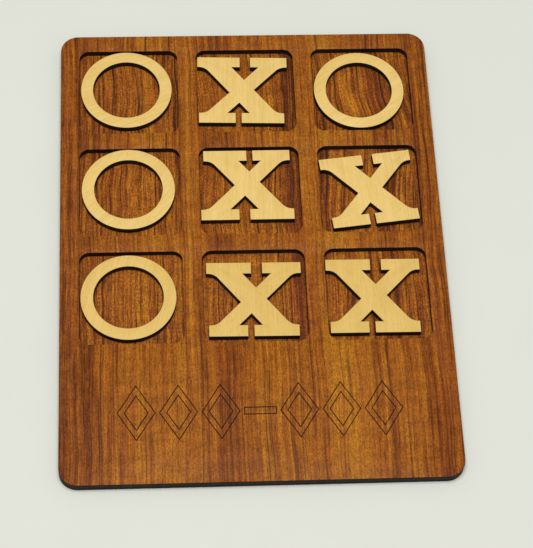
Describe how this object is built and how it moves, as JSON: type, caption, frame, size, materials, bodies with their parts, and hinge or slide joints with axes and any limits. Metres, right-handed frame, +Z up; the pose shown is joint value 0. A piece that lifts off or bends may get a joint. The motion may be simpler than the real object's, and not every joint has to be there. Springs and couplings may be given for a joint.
{
  "type": "tic tac toe set",
  "caption": "Flat wooden tic tac toe tray with square pockets holding loose ring and cross tokens, veneered on both faces and engraved with a lozenge band",
  "frame": {"origin": "middle of the underside of the tray", "axes": "+Z up out of the pockets; +Y along the tray from the plain end to the pocket end; +X across the tray to the right"},
  "size_m": [0.15, 0.2, 0.0043],
  "materials": {
    "tray_face": "satin oiled red-brown veneer, straight grain",
    "tray_core": "scorched fibreboard edge, matte",
    "pocket_floor": "satin red-brown veneer, wavy grain",
    "base_core": "scorched board edge, matte",
    "token_face": "satin pale veneer, fine straight grain",
    "token_core": "scorched fibreboard edge, matte"
  },
  "bodies": {
    "tray": {"base_back_veneer": "pocket_floor", "base_core": "base_core", "base_face_veneer": "pocket_floor", "frame_back_veneer": "tray_face", "frame_core": "tray_core", "frame_face_veneer": "tray_face"},
    "o_bottom_left": {"o_bottom_left_back_veneer": "token_face", "o_bottom_left_core": "token_core", "o_bottom_left_face_veneer": "token_face"},
    "o_middle_left": {"o_middle_left_back_veneer": "token_face", "o_middle_left_core": "token_core", "o_middle_left_face_veneer": "token_face"},
    "o_top_left": {"o_top_left_back_veneer": "token_face", "o_top_left_core": "token_core", "o_top_left_face_veneer": "token_face"},
    "o_top_right": {"o_top_right_back_veneer": "token_face", "o_top_right_core": "token_core", "o_top_right_face_veneer": "token_face"},
    "x_bottom_centre": {"x_bottom_centre_back_veneer": "token_face", "x_bottom_centre_core": "token_core", "x_bottom_centre_face_veneer": "token_face"},
    "x_bottom_right": {"x_bottom_right_back_veneer": "token_face", "x_bottom_right_core": "token_core", "x_bottom_right_face_veneer": "token_face"},
    "x_middle_centre": {"x_middle_centre_back_veneer": "token_face", "x_middle_centre_core": "token_core", "x_middle_centre_face_veneer": "token_face"},
    "x_middle_right": {"x_middle_right_back_veneer": "token_face", "x_middle_right_core": "token_core", "x_middle_right_face_veneer": "token_face"},
    "x_top_centre": {"x_top_centre_back_veneer": "token_face", "x_top_centre_core": "token_core", "x_top_centre_face_veneer": "token_face"}
  },
  "joints": [
    {"name": "lift_o_bottom_left", "type": "slide", "parent": "tray", "child": "o_bottom_left", "axis": [0, 0, 1], "range_m": [0, 0.03]},
    {"name": "lift_o_middle_left", "type": "slide", "parent": "tray", "child": "o_middle_left", "axis": [0, 0, 1], "range_m": [0, 0.03]},
    {"name": "lift_o_top_left", "type": "slide", "parent": "tray", "child": "o_top_left", "axis": [0, 0, 1], "range_m": [0, 0.03]},
    {"name": "lift_o_top_right", "type": "slide", "parent": "tray", "child": "o_top_right", "axis": [0, 0, 1], "range_m": [0, 0.03]},
    {"name": "lift_x_bottom_centre", "type": "slide", "parent": "tray", "child": "x_bottom_centre", "axis": [0, 0, 1], "range_m": [0, 0.03]},
    {"name": "lift_x_bottom_right", "type": "slide", "parent": "tray", "child": "x_bottom_right", "axis": [0, 0, 1], "range_m": [0, 0.03]},
    {"name": "lift_x_middle_centre", "type": "slide", "parent": "tray", "child": "x_middle_centre", "axis": [0, 0, 1], "range_m": [0, 0.03]},
    {"name": "lift_x_middle_right", "type": "slide", "parent": "tray", "child": "x_middle_right", "axis": [0, 0, 1], "range_m": [0, 0.03]},
    {"name": "lift_x_top_centre", "type": "slide", "parent": "tray", "child": "x_top_centre", "axis": [0, 0, 1], "range_m": [0, 0.03]}
  ]
}
